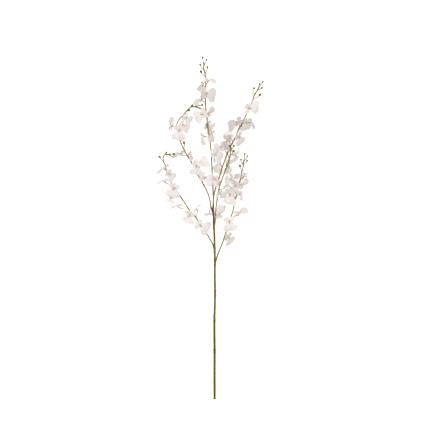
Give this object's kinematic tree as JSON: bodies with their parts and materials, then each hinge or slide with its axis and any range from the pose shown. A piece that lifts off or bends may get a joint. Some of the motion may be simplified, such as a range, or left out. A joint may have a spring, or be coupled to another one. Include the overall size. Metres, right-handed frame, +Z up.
{
  "type": "cut oncidium orchid stem",
  "caption": "Long slender cut flowering stem of a white oncidium orchid, lying on a surface, with arching side branches, broad-lipped blooms on thin stalks and small closed buds at the tips.",
  "frame": {"origin": "centre of the bounding box, on the surface that the stem lies on", "axes": "+Y runs along the stem from its cut end to its top, +Z is up from the surface, +X is across the branches"},
  "size_m": [0.3158, 0.9956, 0.0779],
  "materials": {
    "stem": "satin",
    "branch": "satin",
    "petal": "matte"
  },
  "bodies": {
    "root": {"main_stem": "stem", "branch_top": "branch", "bloom_top_1": "petal", "bloom_top_2": "petal", "bloom_top_3": "petal", "bloom_top_4": "petal", "bloom_top_5": "petal", "bloom_top_6": "petal", "bloom_top_7": "petal", "bloom_top_8": "petal", "bloom_top_9": "petal", "bloom_top_10": "petal", "bloom_top_11": "petal", "branch_upper_right": "branch", "bloom_upper_right_1": "petal", "bloom_upper_right_2": "petal", "bloom_upper_right_3": "petal", "bloom_upper_right_4": "petal", "bloom_upper_right_5": "petal", "bloom_upper_right_6": "petal", "bloom_upper_right_7": "petal", "bloom_upper_right_8": "petal", "bloom_upper_right_9": "petal", "branch_upper_left": "branch", "bloom_upper_left_1": "petal", "bloom_upper_left_2": "petal", "bloom_upper_left_3": "petal", "bloom_upper_left_4": "petal", "bloom_upper_left_5": "petal", "bloom_upper_left_6": "petal", "bloom_upper_left_7": "petal", "bloom_upper_left_8": "petal", "bloom_upper_left_9": "petal", "bloom_upper_left_10": "petal", "branch_lower_left": "branch", "bloom_lower_left_1": "petal", "bloom_lower_left_2": "petal", "bloom_lower_left_3": "petal", "bloom_lower_left_4": "petal", "bloom_lower_left_5": "petal", "bloom_lower_left_6": "petal", "bloom_lower_left_7": "petal", "bloom_lower_left_8": "petal", "bloom_lower_left_9": "petal", "branch_lower_right": "branch", "bloom_lower_right_1": "petal", "bloom_lower_right_2": "petal", "bloom_lower_right_3": "petal", "bloom_lower_right_4": "petal", "bloom_lower_right_5": "petal", "bloom_lower_right_6": "petal", "bloom_lower_right_7": "petal", "bloom_lower_right_8": "petal", "bloom_lower_right_9": "petal", "branch_middle": "branch", "bloom_middle_1": "petal", "bloom_middle_2": "petal", "bloom_middle_3": "petal", "bloom_middle_4": "petal", "bloom_middle_5": "petal"}
  },
  "joints": []
}
